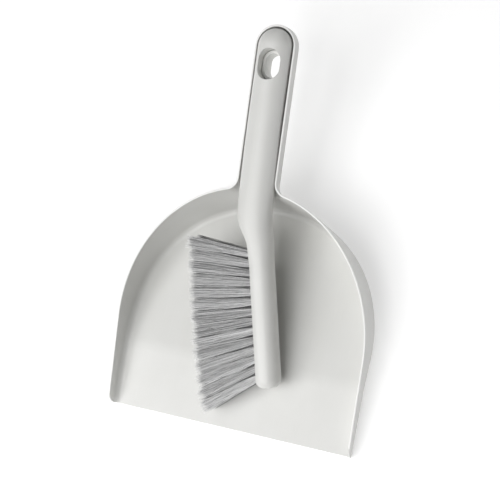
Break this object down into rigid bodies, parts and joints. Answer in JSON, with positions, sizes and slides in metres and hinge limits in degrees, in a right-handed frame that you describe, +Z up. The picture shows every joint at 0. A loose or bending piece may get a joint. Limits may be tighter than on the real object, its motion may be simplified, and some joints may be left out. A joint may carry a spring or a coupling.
{
  "type": "dustpan and brush",
  "caption": "Open-fronted dustpan with a trough handle, and a cranked hand brush that nests in it and lifts out.",
  "frame": {"origin": "middle of the footprint, on the ground that the lip and the heel stand on", "axes": "+Z up, +Y from the lip to the end of the handle, +X to the right seen from the lip"},
  "size_m": [0.23, 0.3362, 0.0953],
  "materials": {
    "pan_plastic": "satin moulded plastic, pale warm grey",
    "brush_plastic": "satin moulded plastic, pale warm grey",
    "bristle": "synthetic filaments, mid grey with split pale tips",
    "anchor_wire": "flat galvanised wire"
  },
  "bodies": {
    "pan": {"pan": "pan_plastic"},
    "brush": {"brush_body": "brush_plastic", "tuft_upper_01": "bristle", "tuft_upper_02": "bristle", "tuft_upper_03": "bristle", "tuft_upper_04": "bristle", "tuft_upper_05": "bristle", "tuft_upper_06": "bristle", "tuft_upper_07": "bristle", "tuft_upper_08": "bristle", "tuft_upper_09": "bristle", "tuft_upper_10": "bristle", "tuft_upper_11": "bristle", "tuft_upper_12": "bristle", "tuft_upper_13": "bristle", "tuft_upper_14": "bristle", "tuft_middle_01": "bristle", "tuft_middle_02": "bristle", "tuft_middle_03": "bristle", "tuft_middle_04": "bristle", "tuft_middle_05": "bristle", "tuft_middle_06": "bristle", "tuft_middle_07": "bristle", "tuft_middle_08": "bristle", "tuft_middle_09": "bristle", "tuft_middle_10": "bristle", "tuft_middle_11": "bristle", "tuft_middle_12": "bristle", "tuft_middle_13": "bristle", "tuft_lower_01": "bristle", "tuft_lower_02": "bristle", "tuft_lower_03": "bristle", "tuft_lower_04": "bristle", "tuft_lower_05": "bristle", "tuft_lower_06": "bristle", "tuft_lower_07": "bristle", "tuft_lower_08": "bristle", "tuft_lower_09": "bristle", "tuft_lower_10": "bristle", "tuft_lower_11": "bristle", "tuft_lower_12": "bristle", "tuft_lower_13": "bristle", "tuft_lower_14": "bristle", "tuft_anchors_upper": "anchor_wire", "tuft_anchors_middle": "anchor_wire", "tuft_anchors_lower": "anchor_wire"}
  },
  "joints": [
    {"name": "brush_lift", "type": "slide", "parent": "pan", "child": "brush", "axis": [0, -0.2164, 0.9763], "range_m": [0, 0.12]}
  ]
}
